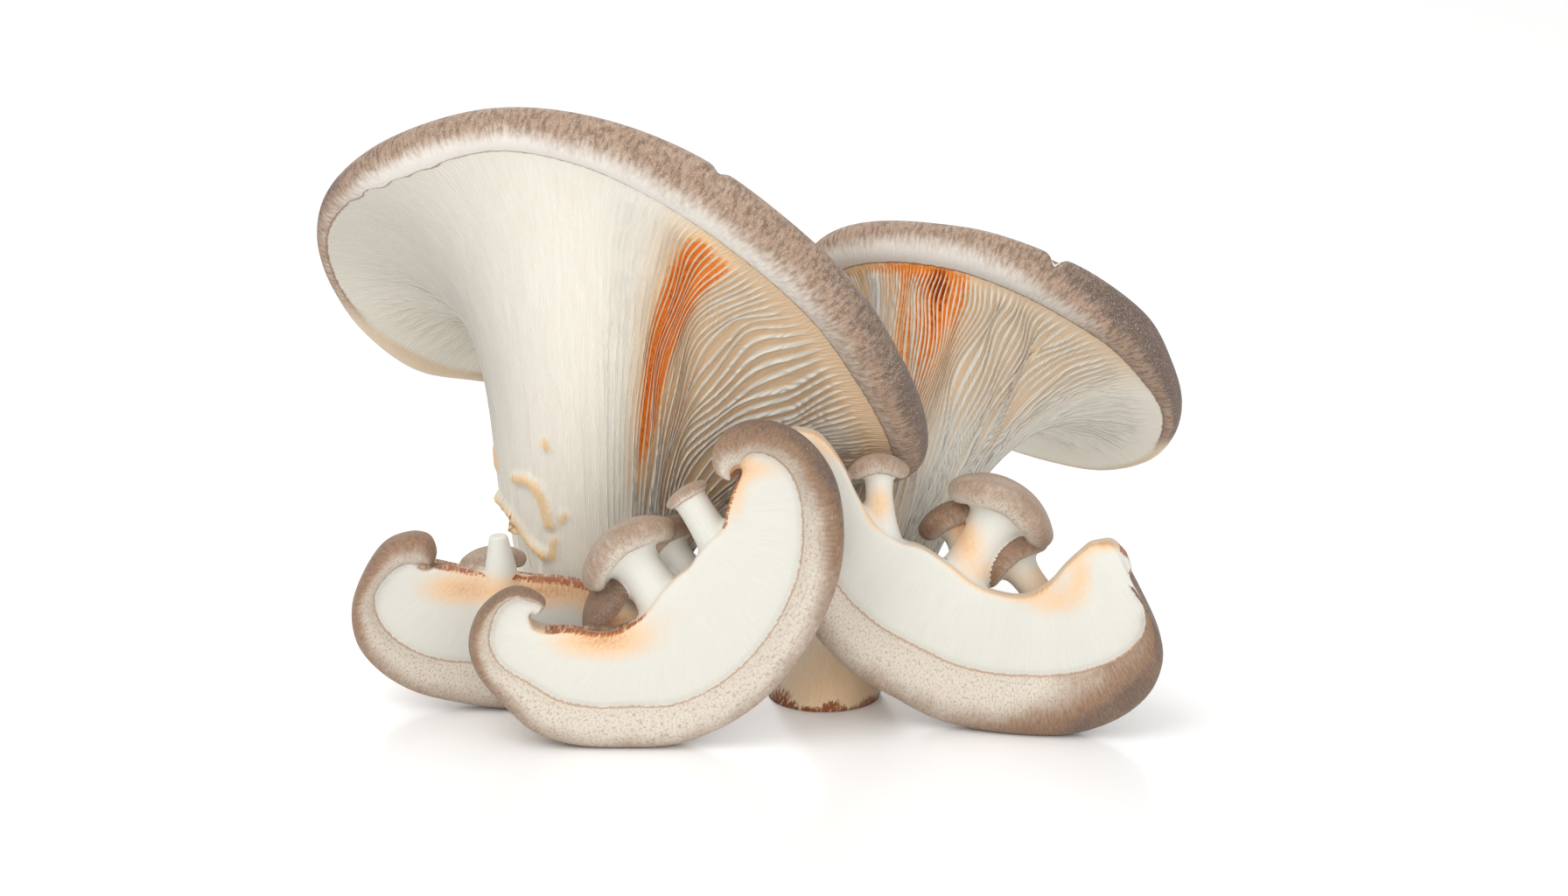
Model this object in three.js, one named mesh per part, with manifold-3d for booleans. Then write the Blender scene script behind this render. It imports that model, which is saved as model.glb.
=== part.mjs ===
// An oyster mushroom cluster: two large mushrooms stand side by side, leaning back on their stems,
// and three cut pieces with in-rolled rims and small side mushrooms stand in front of them.
// Millimetres, +Z up, +X to the right, +Y away from the front. Every mushroom that grew as one
// piece is one solid. Each stands on the plane z = 0.
import * as THREE from "three";
import { mergeVertices } from "three/addons/utils/BufferGeometryUtils.js";
import Module from "manifold-3d";

const wasm = await Module();
wasm.setup();

// Where the middle of the cluster's box lies in the coordinates that the tables below use.
const MIDDLE_X = 0.6;
const MIDDLE_Y = 53.5;

const SKIN_GREY = 0x9c8b7c;
const FLESH_CREAM = 0xeee7da;

// How the rims roll: degrees of tuck under the gills' edge, and a thin and a thick rim's radius.
const TUCK = 90;
const TUCK_LOST = 40;
const THIN_ROLL = 2.2;
const THICK_ROLL = 5.2;

// How far the cut pieces sink into the surface that they stand on, which gives them a flat spot.
const SINK = 0.4;

// The two large caps' rims, from the left side over the front to the right and back behind.
// A row is x, y, z, the radius that the rim is rolled to, the waist's and the throat's radius and
// the throat's height below it, and the degrees that both are turned.
const LEFT_RIM = [
  [-88.5, 50, 97, 2.2, 29, 7, 89, -4],
  [-83, 43, 106.2, 3.2, 25, 13, 92, 0],
  [-70, 34, 114, 4.4, 20.5, 17.5, 95, 0],
  [-52.5, 26, 120.9, 4.4, 19.5, 19, 98, 0],
  [-34.5, 22, 119, 5.1, 19.5, 19, 97, 0],
  [-17, 20, 111.1, 6, 19.5, 19, 92, 0],
  [-1, 20, 99.8, 6, 19.5, 19, 84, 0],
  [13.5, 22, 85.8, 5.8, 19.5, 19, 73, 0],
  [24, 26, 69.5, 5.2, 19.5, 19, 61, 0],
  [29.5, 31, 57, 4.6, 19.5, 19, 50, 0],
  [30, 38, 48.5, 4.2, 19, 18, 43, 0],
  [24, 46, 45, 4, 18.5, 17, 41, 0],
  [12, 55, 45, 4, 17.5, 15, 43, 0],
  [-4, 66, 48, 4, 16, 13, 48, 0],
  [-22.5, 77, 53, 4, 16, 13, 58, 0],
  [-41.5, 84, 56.2, 3.4, 17.5, 15, 71, -4],
  [-57.5, 81, 59, 3.2, 18.5, 17, 80, -11],
  [-69.5, 76, 63.6, 3.7, 19.5, 19, 87, -22],
  [-80.8, 67.5, 73.2, 2.7, 21, 18, 91, -26],
  [-87.2, 58, 85, 2, 26, 10, 91, -14],
];
const RIGHT_RIM = [
  [16.5, 74, 81.5, 4.5, 10.5, 11, 72, 0],
  [22, 66, 87, 4.6, 11, 12, 74, 0],
  [32, 60, 89.3, 4.8, 11.5, 13, 74, 0],
  [44, 55, 88.6, 5, 12, 14, 73, 0],
  [55, 52, 85.3, 5.2, 12, 14, 71, 0],
  [65, 50, 80.6, 5.6, 12, 14, 67, 0],
  [76, 50, 73.4, 5.2, 12, 14, 62, 0],
  [83.2, 53, 65.3, 4.1, 11.5, 13, 60, 0],
  [88, 58, 57, 3, 11, 12, 60, 5],
  [88, 64.5, 48.8, 2.4, 11, 12, 62, 14],
  [84, 71, 42.4, 2, 11.5, 13, 64, 28],
  [75.5, 80.5, 37.9, 2, 11.5, 13, 62, 30],
  [64.5, 88, 37.8, 2.2, 11, 12, 57, 20],
  [51.5, 94.5, 40.2, 3, 9.5, 9, 50, 6],
  [38, 99, 43.5, 3.6, 9, 8, 47, 0],
  [25.5, 99, 49.5, 4, 9, 8, 52, 0],
  [16.5, 94, 60, 4.2, 9.5, 9, 60, 0],
  [14, 85, 72.5, 4.4, 10, 10, 68, 0],
];

// The cut pieces, from one curled end to the other. A row is the outer edge's x and z, the inner
// edge's x and z, the width of the band of skin, and the depth y of the cut.
const FRONT_CUT = [
  [-43.5, 29.2, -44, 29.2, 0.5, 6.5],
  [-41.5, 31.7, -44.5, 30.2, 0.5, 6.5],
  [-44.5, 34.2, -45, 29.2, 1.5, 6.5],
  [-48.5, 34.7, -45, 28.7, 1.5, 6.5],
  [-52.5, 32.7, -44.5, 27.2, 2, 6.5],
  [-56, 28.7, -43.5, 26.2, 3.5, 6.5],
  [-57.5, 22.7, -40.5, 25.7, 4.5, 6.5],
  [-55.5, 16.2, -37, 26.2, 5.5, 6.5],
  [-50.5, 10, -32.5, 25.7, 7.5, 6.5],
  [-44.5, 4.2, -28, 25.7, 9, 6.5],
  [-36, 1.3, -23.5, 27.7, 9.5, 6.5],
  [-26, 0.7, -20, 31.2, 9.5, 6.5],
  [-15.5, 1.3, -17.5, 34.7, 9, 6.5],
  [-5.5, 5, -14.5, 37.7, 9, 6.5],
  [3.5, 11.4, -12, 39.7, 9, 6.5],
  [11, 20.7, -10.5, 42.2, 8.5, 6.5],
  [17, 32.2, -8, 45.2, 8.5, 6.5],
  [19.5, 43.7, -5.5, 47.7, 8.5, 6.5],
  [18.5, 55.7, -4.5, 51.7, 8, 6.5],
  [14.5, 63.7, -3.5, 54.7, 7, 6.5],
  [8.5, 68.7, -2.5, 57.2, 6.5, 6.5],
  [2, 70.2, -1.5, 59.2, 6.5, 6.5],
  [-3.5, 68.7, -1, 60.2, 7.5, 6.5],
  [-7, 64.7, -2, 60.7, 11, 6.5],
  [-7, 60.2, -3, 59.7, 11, 6.5],
  [-4.5, 58.2, -3, 58.2, 11, 6.5],
];
const LEFT_CUT = [
  [-67, 30.5, -67.5, 30.5, 3.5, 32],
  [-65.5, 33, -68.5, 31, 7.5, 31],
  [-67, 36.8, -69.5, 30.8, 7.5, 30],
  [-71.5, 37.5, -69.5, 30.3, 7, 30],
  [-77, 35, -68, 30.3, 6.5, 30],
  [-81.3, 28.5, -67, 30.3, 5.5, 30],
  [-83.5, 21.5, -65, 31, 5.5, 30],
  [-82.5, 14, -61.5, 30.5, 7, 30],
  [-78, 8, -58, 30, 8, 30],
  [-71, 3.5, -54, 29.5, 9, 30],
  [-62, 1, -49.5, 29, 10, 30],
  [-51, -0.5, -45, 28.5, 10, 30],
  [-40, -0.5, -39.5, 28, 10, 30],
  [-31, 2, -35, 27, 10, 30],
  [-25, 7.5, -31, 25.5, 8.5, 30],
  [-23, 13.5, -28, 23, 7, 31],
  [-25, 19, -26, 20, 3.5, 32],
];
const RIGHT_CUT = [
  [9, 64.5, 10, 64, 0.5, 21],
  [6.5, 58, 15, 62.5, 0.5, 21],
  [6, 48, 19.5, 56.5, 2, 21],
  [6.5, 37, 22.5, 50, 6.5, 21],
  [10, 27.3, 26, 44.4, 9.5, 20.5],
  [14.5, 19.1, 31, 40.6, 11, 20.5],
  [21.5, 12.2, 36, 39.3, 12, 19.5],
  [30, 7.2, 41.5, 36.1, 12.5, 18.4],
  [39, 2.6, 47.5, 31.7, 13, 17.6],
  [49, 0.8, 53, 30.2, 13, 15.8],
  [58.5, 0.4, 57.5, 30.7, 13.5, 13.8],
  [68, 1.2, 62, 33.7, 13.5, 12.8],
  [77, 5, 65, 37.7, 12.5, 11.8],
  [83, 10.4, 67.5, 40.2, 10.5, 11.8],
  [85.5, 17.1, 70, 42.3, 8, 11.8],
  [84.9, 22.9, 72.2, 42.6, 6, 12.2],
  [82.8, 27.5, 74, 42.6, 4.2, 12.6],
  [80, 31.7, 75.6, 41.7, 2.2, 13.1],
  [77.9, 34.3, 76.8, 40.7, 0.6, 13.4],
  [79, 36.7, 77.8, 39.5, 0.4, 13.8],
];

// The small side mushrooms: the foot's place, the lean to the right and the pitch away from the
// front in degrees, the height, the stem's radius at the foot and under the cap, the cap's
// half-widths, the radius of its rolled rim, and how far its two ends droop.
const HOOD_FRONT = {
  at: [-17, 11, 28.7], lean: -36, pitch: 14, height: 13.5,
  stem: [6, 4], cap: [7.4, 6], roll: 2.5, droop: 2.5,
};
const PEG_FRONT = {
  at: [-5.5, 9.5, 41.2], lean: -32, pitch: 8, height: 13,
  stem: [4.5, 3.2], cap: [3.8, 3.6], roll: 0.8, droop: 0.4,
};
const CAP_LOW_FRONT = {
  at: [-21, 16.5, 22.6], lean: -58, pitch: -24, height: 9,
  stem: [4, 3], cap: [5.2, 5], roll: 2, droop: 1,
};
const CAP_HIGH_FRONT = {
  at: [-11, 16, 32.3], lean: -38, pitch: 20, height: 9.5,
  stem: [4, 3], cap: [5.2, 4.6], roll: 2.2, droop: 1.5,
};
const CAP_LEFT = {
  at: [-53, 36, 19.5], lean: -6, pitch: 10, height: 9.5,
  stem: [3.5, 2.5], cap: [5, 4.4], roll: 1.8, droop: 0.8,
};
const HOOD_SMALL_RIGHT = {
  at: [27.2, 23.5, 39.5], lean: -1, pitch: 14, height: 13.5,
  stem: [4.5, 2.4], cap: [3.8, 3.6], roll: 1.7, droop: 1.2,
};
const HOOD_RIGHT = {
  at: [42.8, 23.5, 27.7], lean: 30, pitch: 10, height: 19.5,
  stem: [6.5, 4.2], cap: [7.8, 6.4], roll: 2.8, droop: 2.6,
};
const CAP_LEFT_OF_HOOD = {
  at: [46.8, 28.5, 29.2], lean: -15, pitch: 22, height: 11,
  stem: [4, 3], cap: [5, 4.5], roll: 2.5, droop: 1.2,
};
const CAP_RIGHT_OF_HOOD = {
  at: [62, 24, 24.7], lean: -36, pitch: 16, height: 11,
  stem: [3.5, 3], cap: [5.4, 4.6], roll: 2.2, droop: 1.5,
};
const STUB_LEFT = { at: [-51.5, 30, 20], lean: -3, height: 18, stem: [5.5, 1.9] };

const { cos, sin, sqrt, atan2, min, max, floor, hypot, PI } = Math;
const { clamp, degToRad } = THREE.MathUtils;
const smooth = (low, high, value) => THREE.MathUtils.smoothstep(value, low, high);

// A smooth curve through rows of numbers, at t from 0 to 1.
function through(rows, t, closed) {
  const count = rows.length;
  const place = clamp(t, 0, 1) * (closed ? count : count - 1);
  const start = closed ? floor(place) : min(floor(place), count - 2);
  const f = place - start;
  const pick = (k) => (closed ? rows[(k + count) % count] : rows[clamp(k, 0, count - 1)]);
  const [a, b, c, d] = [pick(start - 1), pick(start), pick(start + 1), pick(start + 2)];
  return b.map(
    (_, k) =>
      b[k] +
      0.5 * f * (c[k] - a[k]) +
      0.5 * f * f * (2 * a[k] - 5 * b[k] + 4 * c[k] - d[k]) +
      0.5 * f * f * f * (3 * b[k] - a[k] - 3 * c[k] + d[k]),
  );
}

// A closed surface over a stack of rings, with a fan to a point at each end.
function skin(first, rings, last) {
  const points = [first];
  const starts = rings.map((ring) => points.push(...ring) - ring.length);
  const end = points.push(last) - 1;
  const faces = [];
  rings.forEach((ring, r) => {
    const at = (i) => starts[r] + (i % ring.length);
    if (r === 0) ring.forEach((_, i) => faces.push(0, at(i + 1), at(i)));
    if (r === rings.length - 1) {
      ring.forEach((_, i) => faces.push(at(i), at(i + 1), end));
      return;
    }
    const next = rings[r + 1].length;
    const up = (j) => starts[r + 1] + (j % next);
    let i = 0;
    let j = 0;
    while (i < ring.length || j < next) {
      if ((i + 1) * next <= (j + 1) * ring.length) {
        faces.push(at(i), at(i + 1), up(j));
        i += 1;
      } else {
        faces.push(at(i), up(j + 1), up(j));
        j += 1;
      }
    }
  });
  let volume = 0;
  for (let k = 0; k < faces.length; k += 3) {
    const [a, b, c] = [points[faces[k]], points[faces[k + 1]], points[faces[k + 2]]];
    volume += a.dot(new THREE.Vector3().crossVectors(b, c));
  }
  if (volume < 0) faces.reverse();
  const geometry = new THREE.BufferGeometry().setFromPoints(points);
  geometry.setIndex(faces);
  return geometry;
}

function solid(geometry) {
  const bare = new THREE.BufferGeometry();
  bare.setAttribute("position", geometry.getAttribute("position"));
  bare.setIndex(geometry.index);
  const merged = mergeVertices(bare, 1e-3);
  const vertProperties = merged.attributes.position.array;
  const triVerts = new Uint32Array(merged.index.array);
  return new wasm.Manifold(new wasm.Mesh({ numProp: 3, vertProperties, triVerts }));
}

function surface(manifold) {
  const { vertProperties, triVerts } = manifold.getMesh();
  const geometry = new THREE.BufferGeometry();
  geometry.setAttribute("position", new THREE.BufferAttribute(vertProperties, 3));
  geometry.setIndex(new THREE.BufferAttribute(triVerts, 1));
  return geometry;
}

// One mushroom, grown from its foot: stem, flaring gills, rolled rim and the cap's top.
// Its underside runs up four guides: the foot's ring, a waist, a throat and the rim's own loop.
// A row of the rim gives x, y and z, the roll's radius, the waist's and the throat's radius, the
// throat's height, and the degrees that both are turned.
// The cap's axis is the direction that its top faces.
function mushroom({ foot, waist, throat, rim, crown, axis, columns, steps, gill }) {
  const guides = (u) => {
    const [x, y, z, roll, waistRadius, throatRadius, height, turn] = through(rim, u, true);
    const angle = atan2(y - throat.y, x - throat.x) + degToRad(turn);
    const round = ({ x: cx, y: cy }, r, level) =>
      new THREE.Vector3(cx + r * cos(angle), cy + r * sin(angle), level);
    const guide = [round(foot, foot.r, 0), round(waist, waistRadius, height / 2)];
    return { roll, guide: [...guide, round(throat, throatRadius, height), new THREE.Vector3(x, y, z)] };
  };
  const under = (u, t) => {
    const [a, b, c, d] = guides(u).guide;
    const s = 1 - t;
    return a.multiplyScalar(s * s * s)
      .addScaledVector(b, 3 * s * s * t)
      .addScaledVector(c, 3 * s * t * t)
      .addScaledVector(d, t * t * t);
  };
  const ridge = (j, t) => {
    const u = j / columns + gill(j / columns) * 0.004 * sin(14 * t + (30 * j) / columns) * t * (1 - t);
    const step = 1e-3;
    const round = under(u + step, t).sub(under(u - step, t));
    const along = under(u, min(t + step, 1)).sub(under(u, max(t - step, 0)));
    const height = (j % 2 ? 1 : -1) * gill(u) * smooth(0.3, 0.6, t) * (1 - smooth(0.9, 1, t));
    return under(u, t).addScaledVector(round.cross(along).normalize(), height);
  };
  // The rim rolls round a circle, from the gills' edge out and over to the top.
  const over = (u, t) => {
    const { roll, guide } = guides(u);
    const edge = guide[3];
    const out = edge.clone().sub(guide[2]).normalize();
    const step = 1e-3;
    const along = guides(u + step).guide[3].sub(guides(u - step).guide[3]).normalize();
    const up = new THREE.Vector3().crossVectors(out, along).normalize();
    const thick = clamp((roll - THIN_ROLL) / (THICK_ROLL - THIN_ROLL), 0, 1);
    const tuck = degToRad(TUCK - TUCK_LOST * thick);
    const angle = PI + tuck + t * (1.42 * PI - tuck);
    return edge.addScaledVector(out, roll * (cos(tuck) + cos(angle)))
      .addScaledVector(up, roll * (sin(tuck) + sin(angle)));
  };
  // The top is a low dome, level with the cap's axis at its crown.
  const top = (u, t) => {
    const edge = over(u, 1);
    const reach = edge.clone().sub(crown).projectOnPlane(axis);
    return edge.multiplyScalar((1 - t) ** 2)
      .addScaledVector(reach.multiplyScalar(0.6).add(crown), 2 * t * (1 - t))
      .addScaledVector(crown, t * t);
  };
  const ring = (count, at) => Array.from({ length: count }, (_, j) => at(j));
  const rings = [];
  for (let i = 0; i <= steps.under; i += 1) {
    const t = i / steps.under;
    const plain = t < 0.3;
    const count = plain ? columns / 2 : columns;
    rings.push(ring(count, (j) => (plain ? under(j / count, t) : ridge(j, t))));
  }
  const half = columns / 2;
  for (let i = 1; i <= steps.roll; i += 1) rings.push(ring(half, (j) => over(j / half, i / steps.roll)));
  for (let i = 1; i < steps.top; i += 1) {
    const count = i > 1 ? columns / 4 : half;
    rings.push(ring(count, (j) => top(j / count, i / steps.top)));
  }
  return skin(new THREE.Vector3(foot.x, foot.y, 0), rings, crown);
}

// A small side mushroom, made upright and then leant over and set on its foot.
// Its cap is a hood whose left and right ends droop.
function pin({ at, lean, pitch, height, stem, cap, roll, droop }) {
  const rim = Array.from({ length: 8 }, (_, k) => {
    const angle = (2 * PI * k) / 8;
    const level = height - droop * cos(angle) ** 2;
    const place = [cap[0] * cos(angle), cap[1] * sin(angle), level];
    return [...place, roll, stem[1], stem[1], height - 0.2 * roll, 0];
  });
  const made = mushroom({
    foot: { x: 0, y: 0, r: stem[0] },
    waist: { x: 0, y: 0 },
    throat: { x: 0, y: 0 },
    rim,
    crown: new THREE.Vector3(0, 0, height + 2 * roll + 0.15 * cap[0]),
    axis: new THREE.Vector3(0, 0, 1),
    columns: 32,
    steps: { under: 4, roll: 4, top: 2 },
    gill: () => 0,
  });
  const turn = new THREE.Euler(degToRad(-pitch), degToRad(lean), 0, "YXZ");
  made.applyMatrix4(new THREE.Matrix4().makeRotationFromEuler(turn).setPosition(...at));
  return solid(made);
}

// A stub: a side stem broken off flat, tapering from a wide foot.
function stub({ at, lean, height, stem }) {
  const peg = new THREE.CylinderGeometry(stem[1], stem[0], height, 12, 2).rotateX(PI / 2);
  const bare = new THREE.BufferGeometry();
  bare.setAttribute("position", peg.getAttribute("position"));
  bare.setIndex(peg.index);
  bare.translate(0, 0, height / 2);
  const turn = new THREE.Euler(0, degToRad(lean), 0);
  bare.applyMatrix4(new THREE.Matrix4().makeRotationFromEuler(turn).setPosition(...at));
  return solid(bare);
}

// A cut piece: flat flesh in front, a rounded band of skin along its outer edge, and skin behind.
// A row gives the outer edge's x and z, the inner edge's x and z, the band's width and the depth y.
function cutPiece({ rows, length, front, back, grown }) {
  const section = (t) => {
    const [ox, oz, ix, iz, skinWidth, depth] = through(rows, t, false);
    const wide = max(hypot(ix - ox, iz - oz), 0.2);
    const thin = sqrt(min(1, wide / 14));
    const strip = clamp(skinWidth, 0.1, 0.85 * wide);
    const put = (s, b) =>
      new THREE.Vector3(ox + ((ix - ox) * s) / wide, depth + b * thin, oz + ((iz - oz) * s) / wide);
    const band = (angle) => put((strip / 2) * (1 - cos(angle)), -front * sin(angle));
    const behind = (angle) => put((wide / 2) * (1 - cos(angle)), back * sin(angle) ** 0.8);
    return [
      ...[0, 35, 75, 115, 150].map((angle) => band(degToRad(angle))),
      put(strip, -0.45 * front),
      put((strip + wide) / 2, -0.5 * front),
      put(wide, -0.35 * front),
      ...[165, 130, 90, 50, 15].map((angle) => behind(degToRad(angle))),
    ];
  };
  const tip = (t) => {
    const [ox, oz, ix, iz, , depth] = through(rows, t, false);
    return new THREE.Vector3((ox + ix) / 2, depth, (oz + iz) / 2);
  };
  const rings = [];
  for (let i = 1; i < length; i += 1) rings.push(section(i / length));
  const body = skin(tip(0), rings, tip(1));
  body.computeBoundingBox();
  body.translate(0, 0, -body.boundingBox.min.z - SINK);
  const place = body.getAttribute("position");
  for (let k = 0; k < place.count; k += 1) place.setZ(k, max(place.getZ(k), 0));
  return surface(grown.reduce((whole, part) => whole.add(part), solid(body)));
}

// The large mushroom at the left, on a thick stem that widens into its gills.
const largeLeft = mushroom({
  foot: { x: -33, y: 59, r: 12.5 },
  waist: { x: -34.5, y: 60 },
  throat: { x: -35, y: 59 },
  rim: LEFT_RIM,
  crown: new THREE.Vector3(-33, 66, 97),
  axis: new THREE.Vector3(0.44, 0.65, 0.62).normalize(),
  columns: 120,
  steps: { under: 12, roll: 4, top: 4 },
  gill: (u) => 0.35 + 0.45 * smooth(0.15, 0.3, u) * (1 - smooth(0.55, 0.7, u)),
});

// The large mushroom at the right, with its stem slanting back from the cluster's butt.
const largeRight = mushroom({
  foot: { x: 15.8, y: 38.5, r: 11.8 },
  waist: { x: 30, y: 62 },
  throat: { x: 42, y: 72 },
  rim: RIGHT_RIM,
  crown: new THREE.Vector3(51, 82, 77),
  axis: new THREE.Vector3(0.21, 0.72, 0.66).normalize(),
  columns: 96,
  steps: { under: 12, roll: 4, top: 3 },
  gill: (u) => 0.35 + 0.4 * (1 - smooth(0.35, 0.55, u)),
});

// The cut piece in front, with a hooded mushroom, a peg with a thin cap and two more caps behind.
const frontPiece = cutPiece({
  rows: FRONT_CUT,
  length: 44,
  front: 5,
  back: 9,
  grown: [
    pin(HOOD_FRONT),
    pin(PEG_FRONT),
    pin(CAP_LOW_FRONT),
    pin(CAP_HIGH_FRONT),
  ],
});

// The cut piece at the left, with a stub and a small cap behind the stub.
const leftPiece = cutPiece({
  rows: LEFT_CUT,
  length: 32,
  front: 4.5,
  back: 12,
  grown: [
    stub(STUB_LEFT),
    pin(CAP_LEFT),
  ],
});

// The cut piece at the right, with a small hood, a thick-stemmed one and two caps behind that.
const rightPiece = cutPiece({
  rows: RIGHT_CUT,
  length: 36,
  front: 5,
  back: 11,
  grown: [
    pin(HOOD_SMALL_RIGHT),
    pin(HOOD_RIGHT),
    pin(CAP_LEFT_OF_HOOD),
    pin(CAP_RIGHT_OF_HOOD),
  ],
});

const cluster = new THREE.Group();
cluster.position.set(-MIDDLE_X, -MIDDLE_Y, 0);
for (const [name, geometry, color] of [
  ["large_mushroom_left", largeLeft, FLESH_CREAM],
  ["large_mushroom_right", largeRight, FLESH_CREAM],
  ["cut_mushroom_front", frontPiece, SKIN_GREY],
  ["cut_mushroom_left", leftPiece, SKIN_GREY],
  ["cut_mushroom_right", rightPiece, SKIN_GREY],
]) {
  const material = new THREE.MeshStandardMaterial({ color, roughness: 0.75, metalness: 0 });
  const mesh = new THREE.Mesh(geometry, material);
  mesh.name = name;
  cluster.add(mesh);
}

export default cluster;
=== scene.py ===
import math

import bpy
import numpy as np
from mathutils import Euler, Matrix, Vector, kdtree


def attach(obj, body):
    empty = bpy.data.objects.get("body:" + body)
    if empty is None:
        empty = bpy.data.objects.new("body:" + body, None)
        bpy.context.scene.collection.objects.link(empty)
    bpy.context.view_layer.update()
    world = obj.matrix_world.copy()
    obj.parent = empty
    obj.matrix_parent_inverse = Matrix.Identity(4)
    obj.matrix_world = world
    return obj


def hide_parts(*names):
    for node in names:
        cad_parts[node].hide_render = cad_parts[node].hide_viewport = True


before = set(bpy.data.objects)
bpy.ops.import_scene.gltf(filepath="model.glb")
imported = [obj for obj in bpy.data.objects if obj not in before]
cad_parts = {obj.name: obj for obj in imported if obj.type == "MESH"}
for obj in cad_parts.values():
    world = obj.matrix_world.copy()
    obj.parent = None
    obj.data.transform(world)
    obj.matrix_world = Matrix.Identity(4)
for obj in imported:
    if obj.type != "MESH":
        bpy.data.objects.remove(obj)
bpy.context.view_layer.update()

# The view: the cluster stands on a pale table and is seen from the front through a long lens,
# from a little above. Places in the tables below are millimetres from a point on the table in
# front of the cluster, and MIDDLE is the middle of its footprint there.
MIDDLE = np.array([0.6, 53.5, 0.0])
AIM = np.array([7.28, 30.0, 56.91])
DISTANCE = 1000.0
DOWN = 16.0
SEEN_WIDTH = 326.1


def metres(place):
    """A place or an array of places in the tables' millimetres, as metres in the row frame."""
    return (np.asarray(place, float) - MIDDLE) / 1000


back_off = np.array([0.0, -math.cos(math.radians(DOWN)), math.sin(math.radians(DOWN))])
bpy.ops.object.select_all(action="DESELECT")
bpy.ops.object.camera_add(
    location=metres(AIM + DISTANCE * back_off), rotation=(math.radians(90 - DOWN), 0, 0)
)
camera = bpy.context.object
camera.data.lens = camera.data.sensor_width * DISTANCE / SEEN_WIDTH
bpy.context.scene.camera = camera

# The table is a plain white board with a soft gloss, wide enough to fill the view. It lies a
# tenth of a millimetre below the cluster's feet.
TABLE_WIDTH = 8.0
TABLE_DROP = 0.0001
TABLE_WHITE = (0.97, 0.968, 0.963, 1)
TABLE_ROUGHNESS = 0.28
bpy.ops.mesh.primitive_plane_add(size=TABLE_WIDTH, location=(0, 0, -TABLE_DROP))
table = bpy.context.object
table.name = "table"
board = bpy.data.materials.new("white_board")
board.use_nodes = True
board_shader = board.node_tree.nodes["Principled BSDF"]
board_shader.inputs["Base Color"].default_value = TABLE_WHITE
board_shader.inputs["Roughness"].default_value = TABLE_ROUGHNESS
table.data.materials.append(board)

# Soft studio light: the strongest lamp stands high at the front left, weaker ones low in front,
# at the right and high behind, in a white room. A lamp is its place in millimetres, its width in
# metres and its power in watts.
LAMPS = (
    ((-1100, -1000, 1800), 1.8, 25.5),
    ((300, -1900, 900), 1.8, 10.5),
    ((1700, -1300, 800), 1.8, 13.0),
    ((-400, 2200, 1700), 1.8, 20.0),
)
LIT_POINT = Vector((0, 0, 0.06))
ROOM_LIGHT = 0.66
for place, size, power in LAMPS:
    spot = Vector(place) / 1000
    bpy.ops.object.light_add(type="AREA", location=spot)
    lamp = bpy.context.object
    lamp.rotation_euler = (LIT_POINT - spot).to_track_quat("-Z", "Y").to_euler()
    lamp.data.size = size
    lamp.data.energy = power
room = bpy.data.worlds.new("white_room")
room.use_nodes = True
room.node_tree.nodes["Background"].inputs["Color"].default_value = (1, 1, 1, 1)
room.node_tree.nodes["Background"].inputs["Strength"].default_value = ROOM_LIGHT
bpy.context.scene.world = room
bpy.context.scene.view_settings.view_transform = "Standard"

# The large mushroom at the left grew as one piece: a thick white stem that widens into gills, a
# rim rolled up and over, and a velvety cap that faces back.

# A row of its rim, from the left over the front and back behind, is x, y, z, the roll's radius,
# the waist's and the throat's radius and the throat's height below it, and the degrees that both
# are turned.
LEFT_RIM = [
    [-88.5, 50, 97, 2.2, 29, 7, 89, -4],
    [-83, 43, 106.2, 3.2, 25, 13, 92, 0],
    [-70, 34, 114, 4.4, 20.5, 17.5, 95, 0],
    [-52.5, 26, 120.9, 4.4, 19.5, 19, 98, 0],
    [-34.5, 22, 119, 5.1, 19.5, 19, 97, 0],
    [-17, 20, 111.1, 6, 19.5, 19, 92, 0],
    [-1, 20, 99.8, 6, 19.5, 19, 84, 0],
    [13.5, 22, 85.8, 5.8, 19.5, 19, 73, 0],
    [24, 26, 69.5, 5.2, 19.5, 19, 61, 0],
    [29.5, 31, 57, 4.6, 19.5, 19, 50, 0],
    [30, 38, 48.5, 4.2, 19, 18, 43, 0],
    [24, 46, 45, 4, 18.5, 17, 41, 0],
    [12, 55, 45, 4, 17.5, 15, 43, 0],
    [-4, 66, 48, 4, 16, 13, 48, 0],
    [-22.5, 77, 53, 4, 16, 13, 58, 0],
    [-41.5, 84, 56.2, 3.4, 17.5, 15, 71, -4],
    [-57.5, 81, 59, 3.2, 18.5, 17, 80, -11],
    [-69.5, 76, 63.6, 3.7, 19.5, 19, 87, -22],
    [-80.8, 67.5, 73.2, 2.7, 21, 18, 91, -26],
    [-87.2, 58, 85, 2, 26, 10, 91, -14],
]
LEFT_MUSHROOM = {
    "foot": (-33, 59, 12.5),
    "waist": (-34.5, 60),
    "throat": (-35, 59),
    "rim": LEFT_RIM,
    "crown": (-33, 66, 97),
    "axis": (0.44, 0.65, 0.62),
}

# How a rim rolls: a thin and a thick roll's radius, the degrees of tuck under the gills' edge and
# how many of them a thick rim loses, and where on the roll's circle the cap's top begins. The
# top then rises from the rim to DOME_REACH of the way in before it levels out.
THIN_ROLL, THICK_ROLL = 2.2, 5.2
TUCK, TUCK_LOST = 90, 40
ROLL_END = 1.42 * math.pi
DOME_REACH = 0.6

# How a gill's line waves: each wave's size in gaps between gills, its turns along the gill and
# round the mushroom, and its start. Each gill adds a wave of its own size and start.
GILL_WAVES = ((1.5, 0.9, 6.1, 0.4), (0.9, 1.9, -9.3, 2), (0.35, 3.9, 14.7, 1))
OWN_WAVE, OWN_TURNS = 0.45, 2.6


def ease(low, high, value):
    """0 at low and before, 1 at high and beyond, with a smooth rise between them."""
    x = np.clip((value - low) / (high - low), 0, 1)
    return x * x * (3 - 2 * x)


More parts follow.
